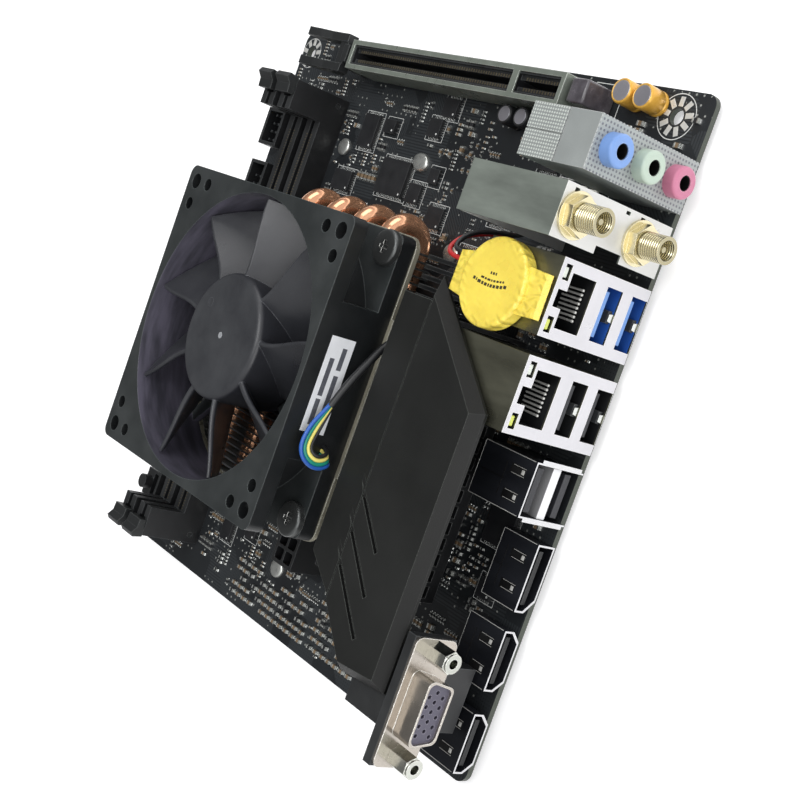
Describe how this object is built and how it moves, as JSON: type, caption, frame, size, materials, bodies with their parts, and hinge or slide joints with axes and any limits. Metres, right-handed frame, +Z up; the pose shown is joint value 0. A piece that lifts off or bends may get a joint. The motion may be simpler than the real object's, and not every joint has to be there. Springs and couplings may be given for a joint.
{
  "type": "mini-itx computer mainboard with fan cooler",
  "caption": "Square computer mainboard with a low heat-pipe fan cooler, memory and expansion slots, a finned regulator heat sink and a row of rear connectors.",
  "frame": {"origin": "centre of the rear mounting hole beside the expansion slot, on the underside of the circuit board", "axes": "+Z up out of the component side, -Y out of the rear connectors, +X towards the expansion slot's edge of the board"},
  "size_m": [0.17, 0.1794, 0.0492],
  "materials": {
    "board_laminate": "matt black solder mask over glass-fibre laminate",
    "dark_steel": "black zinc or paint",
    "black_plastic": "fine spark-eroded moulding grain",
    "nickel_shell": "nickel plated stamped sheet",
    "bright_steel": "brushed, sheared bright edges",
    "copper": "drawn copper, polished",
    "bare_aluminium": "stamped and milled, uncoated",
    "black_aluminium": "black, fine sandblasted grain",
    "bronze": "sintered bronze",
    "gold_plate": "gold flash over brass",
    "blue_plastic": "light blue moulding",
    "green_plastic": "pale green moulding",
    "pink_plastic": "pink moulding",
    "grey_plastic": "grey-violet moulding",
    "ferrite": "pressed powder and sleeved cans",
    "yellow_film": "shrunk film",
    "red_insulation": "soft PVC",
    "black_insulation": "soft PVC",
    "coloured_insulation": "four soft PVC wires side by side",
    "white_plastic": "natural nylon"
  },
  "bodies": {
    "mainboard": {"audio_jack_blue": "blue_plastic", "audio_jack_green": "green_plastic", "audio_jack_pink": "pink_plastic", "audio_shield": "nickel_shell", "battery_cell": "nickel_shell", "battery_lead_black": "black_insulation", "battery_lead_red": "red_insulation", "battery_plug": "white_plastic", "battery_wrap": "yellow_film", "capacitors": "ferrite", "circuit_board": "board_laminate", "cooler_base": "bare_aluminium", "cooler_fins": "bare_aluminium", "cooler_heat_pipes": "copper", "cooler_mount_frame": "dark_steel", "cooler_mount_screws": "dark_steel", "cpu_backplate": "dark_steel", "cpu_package": "nickel_shell", "cpu_socket": "black_plastic", "dimm_slot_a": "black_plastic", "dimm_slot_b": "black_plastic", "fan_bearing": "bronze", "fan_cable_sleeve": "black_insulation", "fan_cable_wires": "coloured_insulation", "fan_frame": "black_plastic", "fan_plate": "bright_steel", "fan_plug": "black_plastic", "fan_screws": "dark_steel", "fan_windings": "copper", "integrated_circuits": "black_plastic", "lan_jack_inserts": "black_plastic", "lan_usb2_shell": "nickel_shell", "lan_usb3_shell": "nickel_shell", "pcie_slot_armor": "nickel_shell", "pcie_slot_housing": "black_plastic", "pin_headers": "black_plastic", "port_contacts": "gold_plate", "power_connectors": "black_plastic", "sata_ports": "black_plastic", "sma_connectors": "gold_plate", "sma_nuts": "gold_plate", "usb_dual_shell": "nickel_shell", "usb_tongues": "blue_plastic", "vga_housing": "black_plastic", "vga_insert": "grey_plastic", "vga_jackscrews": "nickel_shell", "vga_shell": "nickel_shell", "video_port_inserts": "black_plastic", "video_port_shells": "nickel_shell", "vrm_chokes": "ferrite", "vrm_heatsink_cap": "black_aluminium", "vrm_heatsink_fins": "bare_aluminium", "wifi_bracket": "nickel_shell"},
    "fan_wheel": {"fan_rotor": "black_plastic", "fan_shaft": "bright_steel"},
    "expansion_lever": {"pcie_latch": "black_plastic"},
    "memory_lever_a_near": {"dimm_latch_a_near": "black_plastic"},
    "memory_lever_a_far": {"dimm_latch_a_far": "black_plastic"},
    "memory_lever_b_near": {"dimm_latch_b_near": "black_plastic"},
    "memory_lever_b_far": {"dimm_latch_b_far": "black_plastic"}
  },
  "joints": [
    {"name": "fan_spin", "type": "hinge", "parent": "mainboard", "child": "fan_wheel", "pos_m": [-0.08625, 0.0821, 0.0382], "axis": [0, 0, 1], "continuous": true},
    {"name": "expansion_latch_tilt", "type": "hinge", "parent": "mainboard", "child": "expansion_lever", "pos_m": [-0.0008, 0.121, 0.0049], "axis": [-1, 0, 0], "range_deg": [0, 30]},
    {"name": "memory_latch_a_near_tilt", "type": "hinge", "parent": "mainboard", "child": "memory_lever_a_near", "pos_m": [-0.0151, 0.1292, 0.0052], "axis": [0, 1, 0], "range_deg": [0, 25]},
    {"name": "memory_latch_a_far_tilt", "type": "hinge", "parent": "mainboard", "child": "memory_lever_a_far", "pos_m": [-0.1529, 0.1292, 0.0052], "axis": [0, -1, 0], "range_deg": [0, 25]},
    {"name": "memory_latch_b_near_tilt", "type": "hinge", "parent": "mainboard", "child": "memory_lever_b_near", "pos_m": [-0.0151, 0.1387, 0.0052], "axis": [0, 1, 0], "range_deg": [0, 25]},
    {"name": "memory_latch_b_far_tilt", "type": "hinge", "parent": "mainboard", "child": "memory_lever_b_far", "pos_m": [-0.1529, 0.1387, 0.0052], "axis": [0, -1, 0], "range_deg": [0, 25]}
  ]
}
